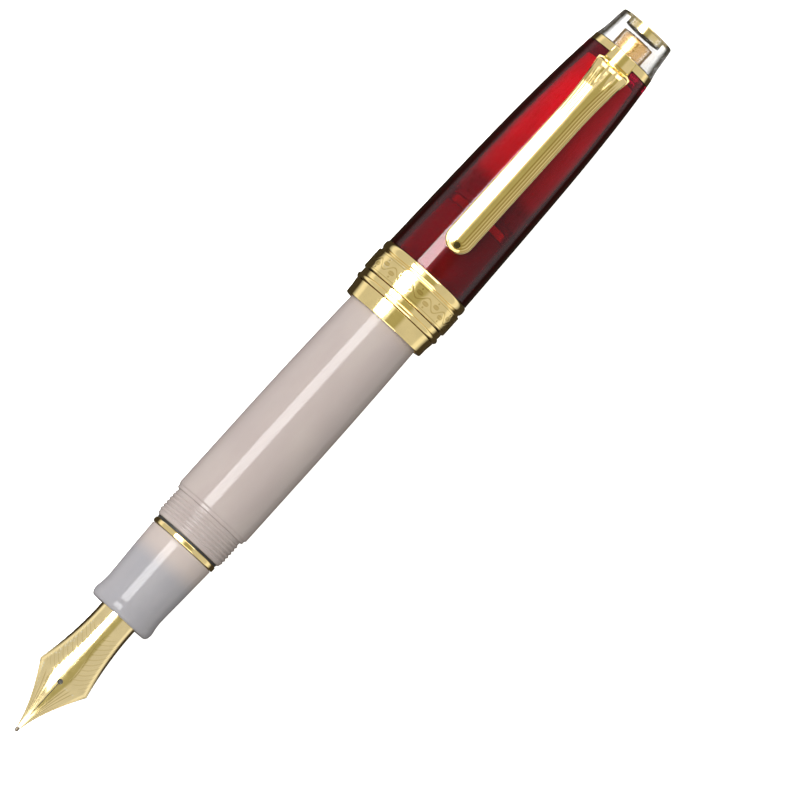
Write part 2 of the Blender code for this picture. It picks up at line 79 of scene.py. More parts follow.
def rounded(corners, closed=True, steps=4):
    """An outline through corners (along, radius, fillet size), with each fillet drawn as a curve."""
    last = len(corners) - 1
    points = []
    for index, corner in enumerate(corners):
        here = Vector(corner[:2])
        size = corner[2] if len(corner) > 2 else 0.0
        if size == 0.0 or (not closed and index in (0, last)):
            points.append((here.x, here.y))
            continue
        before = Vector(corners[index - 1][:2]) - here
        after = Vector(corners[(index + 1) % len(corners)][:2]) - here
        reach = size / tan(before.angle(after) / 2)
        reach = min(reach, 0.49 * before.length, 0.49 * after.length)
        start = here + before.normalized() * reach
        end = here + after.normalized() * reach
        for step in range(steps + 1):
            u = step / steps
            point = start * (1 - u) ** 2 + here * (2 * u * (1 - u)) + end * (u * u)
            points.append((point.x, point.y))
    return points


def smooth(points, steps=6):
    """A cubic curve through the points, each span cut into `steps`."""
    last = len(points) - 1
    slopes = []
    for index in range(last + 1):
        before = points[max(index - 1, 0)]
        after = points[min(index + 1, last)]
        slopes.append((after[1] - before[1]) / (after[0] - before[0]))
    curve = []
    for index in range(last):
        (x0, r0), (x1, r1) = points[index], points[index + 1]
        span = x1 - x0
        for step in range(steps):
            u = step / steps
            rise = (3 * u * u - 2 * u ** 3) * (r1 - r0)
            lean = (u - 2 * u * u + u ** 3) * slopes[index] + (u ** 3 - u * u) * slopes[index + 1]
            curve.append((x0 + u * span, r0 + rise + lean * span))
    curve.append(points[last])
    return curve


def bead(start, end, base, height, steps=14):
    """A half-ellipse that stands `height` over the base radius."""
    middle = (start + end) / 2
    half = (end - start) / 2
    angles = [pi - pi * step / steps for step in range(steps + 1)]
    return [(middle + half * cos(angle), base + height * sin(angle)) for angle in angles]


def rows(start, end, radius, spacing):
    """Evenly spaced points at one radius, for a stretch that takes relief."""
    count = max(round((end - start) / spacing), 1)
    return [(start + (end - start) * step / count, radius) for step in range(count + 1)]


def blend(along, points):
    """The value at `along` on straight lines between (place, value) points."""
    for (x0, v0), (x1, v1) in zip(points, points[1:]):
        if along <= x1:
            return v0 + (v1 - v0) * max(along - x0, 0.0) / (x1 - x0)
    return points[-1][1]


def ease(value):
    """0 below 0, 1 above 1, and a smooth step between."""
    value = min(max(value, 0.0), 1.0)
    return value * value * (3 - 2 * value)


def helix(start, end, lead, root, crest, run_out=0.5):
    """Relief that raises a right-handed screw ridge on the rows at the root radius."""
    tolerance = 0.004

    def radius_at(along, radius, angle):
        if abs(radius - root) > tolerance or not start <= along <= end:
            return radius
        turn = (along / lead - angle / (2 * pi)) % 1.0
        ridge = ease(1.25 * (1.0 - abs(2.0 * turn - 1.0)))
        fade = min(1.0, (along - start) / run_out, (end - along) / run_out)
        return radius + (crest - root) * ridge * ease(fade)
    return radius_at


def flutes(start, end, count, outer, depth):
    """Relief that cuts lengthwise grooves where the surface is near the outer radius."""
    surface_depth = 0.06
    run_out = 0.4

    def radius_at(along, radius, angle):
        if radius < outer - surface_depth or not start <= along <= end:
            return radius
        wave = 0.5 - 0.5 * cos(count * angle)
        fade = ease(min(along - start, end - along) / run_out)
        return radius - depth * (1.0 - wave ** 0.6) * fade
    return radius_at


# ---- Meshes ---------------------------------------------------------------------------------------

def outward_mesh(name, bm, sharp=40):
    """Turn the faces outwards, shade them smooth but for sharp edges, and hand over the mesh."""
    bmesh.ops.recalc_face_normals(bm, faces=bm.faces)
    if bm.calc_volume(signed=True) < 0.0:
        bmesh.ops.reverse_faces(bm, faces=bm.faces)
    mesh = bpy.data.meshes.new(name)
    bm.to_mesh(mesh)
    bm.free()
    mesh.shade_smooth()
    mesh.set_sharp_from_angle(angle=radians(sharp))
    return mesh


def turned(name, outline, sides=SIDES, relief=None):
    """Spin an outline round the X axis, then let `relief` change the radius of each point."""
    bm = bmesh.new()
    ring = [bm.verts.new((along * MM, 0.0, radius * MM)) for along, radius in outline]
    edges = [bm.edges.new(pair) for pair in zip(ring, ring[1:])]
    if outline[0][1] > 0.0:
        edges.append(bm.edges.new((ring[-1], ring[0])))
    bmesh.ops.spin(bm, geom=ring + edges, cent=(0, 0, 0), axis=(1, 0, 0), dvec=(0, 0, 0), angle=2 * pi,
                   steps=sides, use_merge=True)
    bmesh.ops.remove_doubles(bm, verts=bm.verts, dist=1e-7)
    if relief:
        # depth of each cut, which the metal materials darken with painted shade
        recess = bm.verts.layers.float.new("recess")
        for vertex in bm.verts:
            along, across, up = vertex.co / MM
            radius = hypot(across, up)
            if radius > 0.0:
                new_radius = relief(along, radius, atan2(up, across))
                vertex.co.y *= new_radius / radius
                vertex.co.z *= new_radius / radius
                vertex[recess] = max(radius - new_radius, 0.0)
    return outward_mesh(name, bm)


def lofted(name, sections, sharp=40, recess_of=None):
    """Join rings of points, all with the same count, and close both ends."""
    bm = bmesh.new()
    # depth of each cut, which the metal materials darken with painted shade
    recess = bm.verts.layers.float.new("recess")
    rings = [[bm.verts.new(Vector(point) * MM) for point in section] for section in sections]
    if recess_of:
        for vertex in bm.verts:
            vertex[recess] = recess_of(vertex.co / MM)
    count = len(rings[0])
    for near, far in zip(rings, rings[1:]):
        for index in range(count):
            following = (index + 1) % count
            bm.faces.new((near[index], near[following], far[following], far[index]))
    bm.faces.new(list(reversed(rings[0])))
    bm.faces.new(rings[-1])
    bmesh.ops.remove_doubles(bm, verts=bm.verts, dist=1e-7)
    return outward_mesh(name, bm, sharp)


def install(mesh, node, material, at=None):
    """Put a finished mesh in the role of its CAD node, at the node's start unless `at` says otherwise."""
    piece = bpy.data.objects.new(mesh.name, mesh)
    bpy.context.scene.collection.objects.link(piece)
    piece.location = (start_of(node) if at is None else at, 0.0, AXIS_HEIGHT)
    piece.data.materials.append(material)
    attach(piece, BODY_OF[node])
    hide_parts(node)
    return piece


# ---- Materials ------------------------------------------------------------------------------------

def surface(name, settings):
    """A new Principled material with the given socket values."""
    material = bpy.data.materials.new(name)
    material.use_nodes = True
    shader = material.node_tree.nodes["Principled BSDF"]
    for input_name, value in settings.items():
        shader.inputs[input_name].default_value = value
    return material


def add(material, kind, **settings):
    node = material.node_tree.nodes.new("ShaderNode" + kind)
    for key, value in settings.items():
        setattr(node, key, value)
    return node


def link(material, source, target):
    material.node_tree.links.new(source, target)


def socket(material, name):
    """An input of the material's shader."""
    return material.node_tree.nodes["Principled BSDF"].inputs[name]


def noise(material, size, stretch=(1.0, 1.0, 1.0), detail=4.0):
    """Noise with features about `size` millimetres long, drawn out along an axis by its stretch."""
    coordinates = add(material, "TexCoord")
    mapping = add(material, "Mapping")
    mapping.inputs["Scale"].default_value = [1.0 / (size * MM * axis) for axis in stretch]
    texture = add(material, "TexNoise")
    texture.inputs["Scale"].default_value = 1.0
    texture.inputs["Detail"].default_value = detail
    link(material, coordinates.outputs["Object"], mapping.inputs["Vector"])
    link(material, mapping.outputs["Vector"], texture.inputs["Vector"])
    return texture.outputs[0]


def along_pen(material):
    """The place along the piece, in metres from the piece's own start."""
    coordinates = add(material, "TexCoord")
    split = add(material, "SeparateXYZ")
    link(material, coordinates.outputs["Object"], split.inputs["Vector"])
    return split.outputs["X"]


def ranged(material, source, low, high, start=0.35, end=0.65):
    """A value that goes from low to high while the source goes from start to end."""
    node = add(material, "MapRange", interpolation_type="SMOOTHSTEP")
    node.inputs["From Min"].default_value = start
    node.inputs["From Max"].default_value = end
    node.inputs["To Min"].default_value = low
    node.inputs["To Max"].default_value = high
    link(material, source, node.inputs["Value"])
    return node.outputs[0]


def mixed(material, factor, first, second):
    """A colour between two others, each of which is a colour or another node's output."""
    node = add(material, "Mix", data_type="RGBA")
    link(material, factor, node.inputs[0])
    for slot, colour in ((6, first), (7, second)):
        if isinstance(colour, tuple):
            node.inputs[slot].default_value = (*colour, 1.0)
        else:
            link(material, colour, node.inputs[slot])
    return node.outputs[2]


def bumped(material, height, distance):
    """Bump the surface by `distance` millimetres."""
    node = add(material, "Bump")
    node.inputs["Distance"].default_value = distance * MM
    link(material, height, node.inputs["Height"])
    link(material, node.outputs["Normal"], socket(material, "Normal"))


def edges(material):
    """1 on outer edges, where plating wears first, and 0 elsewhere."""
    geometry = add(material, "NewGeometry")
    return ranged(material, geometry.outputs["Pointiness"], 0.0, 1.0, 0.52, 0.6)


SHALLOW_CUT = (0.001, 0.013)      # depths, in millimetres, between which a cut takes painted shade
DEEP_CUT = (0.028, 0.045)         # and between which its painted shade turns nearly black
CUT_SHADE = (0.74, 0.69, 0.56)      # what the painted shade in cuts leaves of each colour channel


def metal(name, colour, worn, roughness, stretch=(1.0, 1.0, 1.0)):
    """Polished metal: faint stains, fine polishing marks, paler worn edges and painted shade in recesses."""
    material = surface(name, {"Metallic": 1.0, "Roughness": roughness})
    stained = tuple(channel * 0.93 for channel in colour)
    # painted shade: shallow cuts take a darker colour
    cut_shade_colour = tuple(channel * share for channel, share in zip(colour, CUT_SHADE))
    clean = mixed(material, ranged(material, noise(material, 3.0), 0.0, 1.0), stained, colour)
    polished = mixed(material, edges(material), clean, worn)
    depth = add(material, "Attribute", attribute_name="recess")
    shallow = ranged(material, depth.outputs["Fac"], 0.0, 1.0, *SHALLOW_CUT)
    deep = ranged(material, depth.outputs["Fac"], 0.0, 1.0, *DEEP_CUT)
    # painted shade: deep cuts turn nearly black
    deep_cut_shade = tuple(channel * 0.12 for channel in colour)
    recessed = mixed(material, shallow, polished, cut_shade_colour)
    link(material, mixed(material, deep, recessed, deep_cut_shade), socket(material, "Base Color"))
    marks = noise(material, 0.25, stretch)
    link(material, ranged(material, marks, roughness * 0.7, roughness * 1.6), socket(material, "Roughness"))
    bumped(material, marks, 0.0006)
    return material


def resin(name, colour, mottle, settings):
    """Polished resin: slow clouds of a second colour, a faint orange-peel surface and fine scuffs."""
    material = surface(name, settings)
    clouds = ranged(material, noise(material, 4.0, (3.0, 1.0, 1.0)), 0.0, 1.0)
    link(material, mixed(material, clouds, mottle, colour), socket(material, "Base Color"))
    roughness = settings["Roughness"]
    scuffs = noise(material, 0.3, (6.0, 1.0, 1.0))
    link(material, ranged(material, scuffs, roughness * 0.7, roughness * 1.7), socket(material, "Roughness"))
    bumped(material, noise(material, 1.6), 0.002)
    return material


def moulded(name, colour, roughness, grain=0.12):
    """Moulded plastic or rubber with a fine grain."""
    material = surface(name, {"Roughness": roughness})
    lighter = tuple(channel * 1.6 + 0.001 for channel in colour)
    speckle = ranged(material, noise(material, grain * 4), 0.0, 1.0)
    link(material, mixed(material, speckle, colour, lighter), socket(material, "Base Color"))
    link(material, ranged(material, noise(material, 1.0), roughness * 0.8, roughness * 1.15),
         socket(material, "Roughness"))
    bumped(material, noise(material, grain), 0.008)
    return material


GOLD = (1.0, 0.79, 0.36)


def make_gold():
    return metal("gold_plate", GOLD, (1.0, 0.85, 0.5), 0.07, (1.0, 4.0, 4.0))


def make_nib_gold():
    return metal("nib_gold", (1.0, 0.81, 0.42), (1.0, 0.87, 0.56), 0.09, (5.0, 1.0, 1.0))


def make_hard_metal():
    return metal("hard_metal", (0.15, 0.12, 0.085), (0.2, 0.17, 0.12), 0.45)


def make_steel():
    return metal("brushed_steel", (0.62, 0.61, 0.6), (0.75, 0.75, 0.74), 0.22, (1.0, 8.0, 8.0))


def make_rose_grey():
    return resin("rose_grey_resin", (0.345, 0.298, 0.28), (0.325, 0.278, 0.265),
                 {"Roughness": 0.06, "IOR": 1.24, "Subsurface Weight": 0.15,
                  "Subsurface Radius": (1.0, 0.8, 0.7), "Subsurface Scale": 0.0008})


def make_smoky():
    """Milky grey resin at the front of the grip, warmed behind by the sleeve that shines through it."""
    material = resin("smoky_resin", (0.278, 0.268, 0.281), (0.259, 0.252, 0.268),
                     {"Roughness": 0.06, "IOR": 1.24, "Subsurface Weight": 0.2,
                      "Subsurface Radius": (1.0, 0.9, 0.8), "Subsurface Scale": 0.001})
    base = socket(material, "Base Color")
    cool = base.links[0].from_socket
    sleeve_start = start_of("section_connector") - start_of("grip_section")
    warmth = ranged(material, along_pen(material), 0.0, 1.0, sleeve_start - 1.0 * MM, sleeve_start + 2.6 * MM)
    link(material, mixed(material, warmth, cool, (0.375, 0.324, 0.303)), base)
    return material


def make_red_resin():
    """Deep red translucent resin with painted shade that darkens it towards the mouth, and darker at its
    edges, where its wall is thick.
    """
    material = resin("red_resin", (0.8, 0.006, 0.07), (0.72, 0.005, 0.052),
                     {"Roughness": 0.03, "IOR": 1.33, "Transmission Weight": 0.96})
    base = socket(material, "Base Color")
    unshaded_red = base.links[0].from_socket
    # painted shade: the resin darkens towards the mouth, fading out from 18 to 40 mm
    mouth_shade_fade = ranged(material, along_pen(material), 0.0, 1.0, 18.0 * MM, 40.0 * MM)
    front = mixed(material, mouth_shade_fade, (0.5, 0.004, 0.034), unshaded_red)
    facing = add(material, "LayerWeight")
    thick = ranged(material, facing.outputs["Facing"], 0.0, 1.0, 0.25, 0.58)
    link(material, mixed(material, thick, front, (0.08, 0.001, 0.005)), base)
    return material


def make_red_liner():
    """Red liner, darker at its open end."""
    material = resin("red_liner", (0.8, 0.07, 0.09), (0.68, 0.04, 0.06), {"Roughness": 0.28, "IOR": 1.5})
    base = socket(material, "Base Color")
    plain = base.links[0].from_socket
    light = ranged(material, along_pen(material), 0.0, 1.0, 2.6 * MM, 5.2 * MM)
    link(material, mixed(material, light, (0.22, 0.012, 0.022), plain), base)
    return material


def make_clear_resin():
    """Water-clear resin whose thick edges look dark."""
    material = resin("clear_resin", (0.97, 0.97, 0.975), (0.95, 0.955, 0.96),
                     {"Roughness": 0.02, "IOR": 1.46, "Transmission Weight": 1.0})
    facing = add(material, "LayerWeight")
    link(material, ranged(material, facing.outputs["Facing"], 0.25, 1.0, 0.3, 0.6), socket(material, "Alpha"))
    return material


def make_warm_gold():
    return metal("warm_gold", (1.0, 0.62, 0.26), (1.0, 0.72, 0.36), 0.22)


# ---- Barrel and tail ------------------------------------------------------------------------------

def make_barrel(material):
    """Tube with cap threads, a rounded step, a long taper and the rear bore."""
    end = length_of("barrel")
    full = 6.56
    end_radius = 5.4
    taper_start = 18.4
    root = 5.98
    sag = full - end_radius
    bow = ((end - taper_start) ** 2 + sag ** 2) / (2 * sag)
    taper_steps = 40
    outside = [(0.0, 5.75), (0.05, 5.83), (0.15, 5.9), (0.25, root)]
    outside += rows(0.35, 4.5, root, 0.06)
    outside += rounded([(4.55, root), (4.72, root + 0.02, 0.06), (4.84, 6.36, 0.08), (5.3, 6.36, 0.05),
                        (5.55, full, 0.25), (7.0, full)], closed=False)
    for step in range(taper_steps + 1):
        along = (end - taper_start) * step / taper_steps
        outside.append((taper_start + along, full - bow + sqrt(bow * bow - along * along)))
    inside = [(end, 4.05), (end - 5.0, 4.05), (end - 16.0, 4.6), (12.0, 4.75), (10.5, 4.95), (0.0, 4.95)]
    mesh = turned("barrel_shell", outside + inside, relief=helix(0.35, 4.5, 0.66, root, 6.15))
    install(mesh, "barrel", material)


def make_tail(resin_material, gold):
    """The ring and the tail cap, whose spigot goes through the ring into the barrel."""
    width = length_of("tail_ring")
    bore = 4.05
    ring = rounded([(0.0, 5.34, 0.12), (0.16, 5.45, 0.12), (width - 0.16, 5.4, 0.12), (width, 5.28, 0.12),
                    (width, bore), (0.0, bore)])
    install(turned("tail_trim_ring", ring), "tail_ring", gold)
    spigot = 3.95
    face = width + GAP + 3.0
    end = length_of("tail_cap")
    outside = [(0.0, 3.3), (0.0, spigot), (face, spigot), (face, 5.2), (face + 0.06, 5.25)]
    outside += smooth([(face + 0.15, 5.25), (face + 2.65, 4.98), (end - 1.1, 4.62)], 8)
    outside += rounded([(end - 1.0, 4.6), (end, 4.5, 0.95), (end, 3.2)], closed=False, steps=12)
    outside.append((end, 0.0))
    room_end = end - 3.0
    mesh = turned("tail_end_cap", [(room_end, 0.0), (room_end, 3.3)] + outside)
    install(mesh, "tail_cap", resin_material)


# ---- Grip -----------------------------------------------------------------------------------------

def make_grip(material):
    """The grip, with its rounded flared lip."""
    end = length_of("grip_section")
    outside = rounded([(0.0, 3.9), (0.0, 4.95, 0.25), (0.22, 5.2, 0.2), (0.5, 5.36)], closed=False)
    outside += smooth([(0.7, 5.4), (1.25, 5.45), (2.4, 5.27), (3.6, 5.2), (8.0, 5.38), (end - 0.1, 5.6)], 8)
    outside += [(end, 5.55), (end, 4.55), (9.2, 4.55), (8.9, 3.5), (0.4, 3.5)]
    install(turned("grip_shell", outside), "grip_section", material)


def make_connector(material):
    """Sleeve with male threads for the barrel, and a nipple that the converter plugs on."""
    end = length_of("section_connector")
    root = 4.45
    barrel_mouth = (start_of("barrel") - start_of("section_connector")) / MM
    threads_start = barrel_mouth + 0.5
    web = barrel_mouth - 0.2
    outside = [(0.0, 3.1), (0.0, 3.9), (0.4, 4.4), (threads_start - 0.15, 4.4), (threads_start - 0.1, root)]
    outside += rows(threads_start, end - 0.3, root, 0.07)
    outside += [(end - 0.2, root - 0.02), (end, 4.3), (end, 3.75), (web + 0.9, 3.75), (web + 0.9, 1.4)]
    outside += [(web + 4.2, 1.4), (web + 4.6, 1.2), (web + 4.6, 0.8), (web, 0.8), (web - 0.3, 3.1)]
    threads = helix(threads_start, end - 0.3, 0.8, root, 4.75)
    install(turned("section_sleeve", outside, relief=threads), "section_connector", material)


def make_section_rings(gold, rubber):
    """The gold ring and the thin seal behind it."""
    width = length_of("section_ring")
    inner = 4.5
    ring = rounded([(0.0, 5.78, 0.2), (width, 5.78, 0.2), (width, inner), (0.0, inner)], steps=6)
    install(turned("section_trim_ring", ring), "section_ring", gold)
    thin = length_of("section_washer")
    wide = 4.9
    seal = rounded([(0.0, 5.66, 0.1), (thin, 5.66, 0.1), (thin, wide), (0.0, wide)])
    install(turned("section_seal", seal), "section_washer", rubber)


# ---- Nib and feed ---------------------------------------------------------------------------------

NIB_START = 0.85
NIB_END = 29.5
NIB_THICKNESS = 0.36
NIB_SHOULDER = 10.55
TIP_HALF_WIDTH = 0.3
SHOULDER_HALF_WIDTH = 4.56
BASE_HALF_WIDTH = 3.25
WAIST_LENGTH = 11.4
NIB_RIDGE = 3.3
NIB_BEND_AT = 16.5
NIB_BEND = 0.0105
BREATHER_AT = 9.75
BREATHER_RADIUS = 0.42
HALF_SLIT = 0.045


def nib_half_width(along):
    """Half the width: tines that swell to sharp shoulders, then a waist that narrows into the grip."""
    if along < NIB_SHOULDER:
        return TIP_HALF_WIDTH + (SHOULDER_HALF_WIDTH - TIP_HALF_WIDTH) * (along / NIB_SHOULDER) ** 1.5
    waist = min((along - NIB_SHOULDER) / WAIST_LENGTH, 1.0)
    return BASE_HALF_WIDTH + (SHOULDER_HALF_WIDTH - BASE_HALF_WIDTH) * (1.0 - waist) ** 1.9


def nib_half_angle(along):
    """How far the plate wraps round, in degrees each side of the top."""
    return blend(along, [(0.0, 20.0), (4.0, 40.0), (NIB_SHOULDER, 60.0), (20.0, 80.0), (30.0, 80.0)])


def nib_top(along):
    """Height of the nib's ridge over the pen's axis."""
    return NIB_RIDGE - NIB_BEND * max(NIB_BEND_AT - along, 0.0) ** 2


def line(distance, width):
    """Depth, from 0 to 1, of an engraved line whose middle is `distance` away."""
    return 1.0 - ease(abs(distance) / width)


def nib_engraving(along, across, edge):
    """Depth of the generic ornament: border lines, a fan of lines on the tines and rows of barbs behind."""
    border = max(line(edge - 0.42, 0.1), 0.7 * line(edge - 0.68, 0.07))
    share = across / (across + edge + 1e-6)
    fan = 0.9 * max(line(share - middle, 0.05) for middle in (0.3, 0.44, 0.58))
    fan *= ease((along - 3.4) / 0.8) * ease((BREATHER_AT + 0.6 - along) / 1.5)
    inside = ease((edge - 0.9) / 0.25) * ease((along - 10.2) / 0.8) * ease((20.0 - along) / 0.8)
    spine = 0.75 + 0.35 * cos((along - 12.0) * 0.55)
    outside_spine = ease((across - spine) / 0.2)
    sweep = along - 0.35 * (across - spine) - 0.16 * (across - spine) ** 2
    barbs = 0.8 * line((sweep % 0.9) - 0.45, 0.16)
    vein = line(across - spine, 0.09) * ease((along - 10.2) / 0.6) * ease((19.6 - along) / 0.6)
    fade = ease((along - 2.4) / 0.8)
    return max(border * fade, fan, barbs * inside * outside_spine, vein)


def nib_inner_edge(along):
    """Half the width of the slit or of the breather hole."""
    from_hole = abs(along - BREATHER_AT)
    hole = sqrt(max(BREATHER_RADIUS ** 2 - from_hole ** 2, 0.0))
    slit = HALF_SLIT if along < BREATHER_AT else 0.0
    return max(hole, slit)


def nib_stations():
    """Places along the nib: close together in the ornament and round the hole."""
    hole_end = BREATHER_AT + BREATHER_RADIUS
    spacing = 0.085
    places = rows(NIB_START, BREATHER_AT - BREATHER_RADIUS, 0.0, spacing)
    places += [(BREATHER_AT - BREATHER_RADIUS * cos(pi * step / 14), 0.0) for step in range(1, 14)]
    places += rows(hole_end, NIB_SHOULDER, 0.0, spacing) + rows(NIB_SHOULDER + spacing, 22.0, 0.0, spacing)
    places += rows(22.5, NIB_END, 0.0, 1.0)
    return [place for place, _ in places]


def on_arc(along, centre, radius, angle):
    """A point, in metres, on an arc whose centre is above the pen's axis, at an angle from straight up."""
    return (along * MM, radius * sin(angle) * MM, (centre + radius * cos(angle)) * MM)


def nib_rows(bm, recess, along, steps):
    """Points across half the plate, from its edge to the slit: one row on top and one underneath."""
    engraving_depth = 0.013
    edge_round = 0.05
    edge_round_width = 0.08
    thinnest = 0.12
    wrap = radians(nib_half_angle(along))
    radius = nib_half_width(along) / sin(wrap)
    centre = nib_top(along) - radius
    thickness = blend(along, [(0.0, 0.3), (4.0, NIB_THICKNESS), (30.0, NIB_THICKNESS)])
    inner_angle = nib_inner_edge(along) / radius
    top = []
    under = []
    for step in range(steps + 1):
        angle = wrap + (inner_angle - wrap) * step / steps
        edge = (wrap - angle) * radius
        cut = engraving_depth * nib_engraving(along, angle * radius, edge)
        rounding = edge_round * (1.0 - ease(edge / edge_round_width))
        top.append(bm.verts.new(on_arc(along, centre, radius - cut - rounding, angle)))
        top[-1][recess] = cut
        under.append(bm.verts.new(on_arc(along, centre, max(radius - thickness, thinnest), angle)))
    return top, under


def make_nib(material):
    """Two mirrored halves of one curved plate, joined behind the breather hole."""
    steps = 52
    bm = bmesh.new()
    # depth of each cut, which the metal materials darken with painted shade
    recess = bm.verts.layers.float.new("recess")
    places = nib_stations()
    half_plate = [nib_rows(bm, recess, along, steps) for along in places]
    for index in range(len(places) - 1):
        top, under = half_plate[index]
        next_top, next_under = half_plate[index + 1]
        for step in range(steps):
            bm.faces.new((top[step], top[step + 1], next_top[step + 1], next_top[step]))
            bm.faces.new((under[step], next_under[step], next_under[step + 1], under[step + 1]))
        bm.faces.new((top[0], next_top[0], next_under[0], under[0]))
        if nib_inner_edge(places[index]) > 1e-6 or nib_inner_edge(places[index + 1]) > 1e-6:
            bm.faces.new((top[-1], under[-1], next_under[-1], next_top[-1]))
    for top, under in (half_plate[0], half_plate[-1]):
        for step in range(steps):
            bm.faces.new((top[step], top[step + 1], under[step + 1], under[step]))
    copied = bmesh.ops.duplicate(bm, geom=bm.verts[:] + bm.edges[:] + bm.faces[:])
    for vertex in [part for part in copied["geom"] if isinstance(part, bmesh.types.BMVert)]:
        vertex.co.y = -vertex.co.y
    bmesh.ops.remove_doubles(bm, verts=bm.verts, dist=1e-7)
    install(outward_mesh("nib_plate", bm), "nib", material, start_of("nib_tipping"))


def make_tipping(material):
    """Pellet of hard metal at the tip, round in front, blunt behind and ground in two halves."""
    length = length_of("nib_tipping")
    half = length / 2
    radius = 0.3
    rear_radius = 0.26
    height = 0.19
    half_gap = 0.012
    steps = 8
    angles = [pi / 2 * step / steps for step in range(steps + 1)]
    outline = [(half * (1.0 - cos(angle)), radius * sin(angle)) for angle in angles]
    outline += [(length, rear_radius), (length, 0.0)]
    mesh = turned("nib_tip_pellet", outline, sides=32)
    for vertex in mesh.vertices:
        side = 1.0 if vertex.co.y >= 0.0 else -1.0
        vertex.co.y = side * max(abs(vertex.co.y), half_gap * MM)
    pellet = install(mesh, "nib_tipping", material)
    pellet.location.z += height * MM


def make_feed(material):
    """Ink feed: a wedge under the tines, comb fins under the shoulders and a stem inside the grip."""
    clearance = NIB_THICKNESS + GAP
    steps = 20

    def section(along, half_angle, depth):
        wrap = radians(nib_half_angle(along))
        radius = nib_half_width(along) / sin(wrap)
        centre = nib_top(along) - radius
        size = max(radius - clearance, 0.12)
        sweep = min(radians(half_angle), wrap)
        angles = [sweep * (1.0 - 2.0 * step / steps) for step in range(steps + 1)]
        top = [(along, size * sin(angle), centre + size * cos(angle)) for angle in angles]
        half_width, edge_height = top[0][1], top[0][2]
        drop = edge_height + depth
        turns = [pi * step / steps for step in range(1, steps)]
        return top + [(along, -half_width * cos(turn), edge_height - drop * sin(turn)) for turn in turns]

    sections = [section(3.2, 14, -0.55), section(4.2, 18, -0.1), section(5.5, 22, 0.5), section(6.8, 28, 1.1)]
    sections += [section(8.0, 34, 1.6), section(9.3, 40, 2.1), section(10.6, 46, 2.5)]
    fins = 17
    pitch = 0.56
    for fin in range(fins):
        at = 11.0 + fin * pitch
        sections += [section(at, 49, 2.5), section(at + 0.02, 56, 3.0), section(at + 0.26, 56, 3.05)]
        sections.append(section(at + 0.28, 49, 2.5))
    sections += [section(20.8, 60, 3.15), section(30.4, 60, 3.2)]
    install(lofted("ink_feed", sections), "feed", material, start_of("nib_tipping"))


# ---- Cap ------------------------------------------------------------------------------------------

def make_cap_tube(material):
    """Red resin: a thin sleeve under the bands, a tapering outside, and a closed top with a hole."""
    start = 0.7
    sleeve = 6.95
    bore = 6.42
    top = 51.8
    outside = [(start, sleeve), (9.85, sleeve), (9.85, 7.42), (9.9, 7.46)]
    outside += smooth([(9.95, 7.46), (23.4, 7.13), (35.7, 6.73), (44.6, 6.22), (top, 5.6)], 10)
    inside = [(top, 1.9), (50.3, 1.9), (50.3, 4.55)] + smooth([(45.5, 5.15), (35.5, 5.75), (22.4, 6.0)], 8)
    inside += [(21.8, 6.2), (12.0, 6.35), (8.0, bore)]
    inside += list(reversed(rows(3.2, 5.6, bore, 0.1))) + [(start, bore)]
    outline = [(along - start, radius) for along, radius in outside + inside]
    threads = helix(2.5, 4.9, 0.8, bore, 6.22)
    install(turned("cap_shell", outline, relief=threads), "cap_tube", material)


def make_inner_cap(material):
    """Liner that keeps the nib from drying; its boss takes the finial's stud."""
    start = 22.6
    outline = smooth([(start, 5.86), (35.4, 5.6), (45.4, 4.95)], 8)
    outline += rounded([(46.0, 4.87), (50.0, 4.4, 0.3), (50.0, 2.5)], closed=False)
    outline += [(50.0, 1.9), (48.1, 1.9), (48.1, 1.2), (47.6, 1.2)]
    outline += smooth([(47.6, 4.0), (36.0, 4.95), (30.0, 5.2)], 6) + [(start, 5.52)]
    shifted = [(along - start, radius) for along, radius in outline]
    install(turned("cap_liner", shifted), "inner_cap", material)


def band_ornament(along, radius, angle):
    """Engrave a winding stem with leaves, and a fine line at each edge, in the wide band."""
    if radius < BAND_RADIUS - 0.001:
        return radius
    middle = 1.78
    waves = 14
    reach = 2 * pi * BAND_RADIUS / waves
    around = (angle * BAND_RADIUS) % reach
    height = along - middle
    stem = 0.62 * sin(2 * pi * around / reach)
    depth = 0.9 * line((height - stem) * 0.75, 0.13)
    for side, centre in ((1.0, 0.25 * reach), (-1.0, 0.75 * reach)):
        across = around - centre
        up = height + side * 0.35
        leaf = hypot(across / 0.62, up / 0.36)
        vein = 0.5 * line(up, 0.07)
        depth = max(depth, (1.0 - ease((leaf - 0.8) / 0.3)) * (0.8 - vein))
        bud = hypot(across, height + side * 1.02)
        depth = max(depth, 1.0 - ease((bud - 0.1) / 0.1))
    depth = max(depth, 0.9 * line(abs(height) - 1.34, 0.08))
    engraving_depth = 0.02
    return radius - engraving_depth * depth


def make_bands(gold):
    """Three rings from the mouth: the plain lip, a bead with a groove, and the wide engraved band."""
    inner = 7.05
    lip = rounded([(0.0, 6.42, 0.1), (0.0, 7.16, 0.12), (0.2, 7.22), (1.4, 7.28), (2.3, 7.4),
                   (2.65, 7.46, 0.06), (2.65, inner), (0.6, inner), (0.6, 6.42)])
    install(turned("cap_lip", lip), "cap_lip_ring", gold)
    thin = bead(0.0, 0.85, 7.45, 0.29)
    thin += rounded([(0.95, 7.47), (1.05, 7.5), (1.66, 7.53, 0.05), (1.7, inner)], closed=False)
    thin.append((0.0, inner))
    install(turned("cap_bead_ring", thin), "cap_thin_band", gold)
    wide = rounded([(0.0, inner), (0.0, 7.62, 0.05), (0.12, BAND_RADIUS - 0.02, 0.06)], closed=False)
    wide += rows(0.16, 3.4, BAND_RADIUS, 0.09)
    wide += [(3.44, BAND_RADIUS - 0.03), (3.52, 7.54), (3.58, 7.5), (3.72, 7.48)] + bead(3.8, 5.2, 7.45, 0.26)
    wide.append((5.2, inner))
    install(turned("cap_wide_band", wide, sides=480, relief=band_ornament), "cap_band", gold)


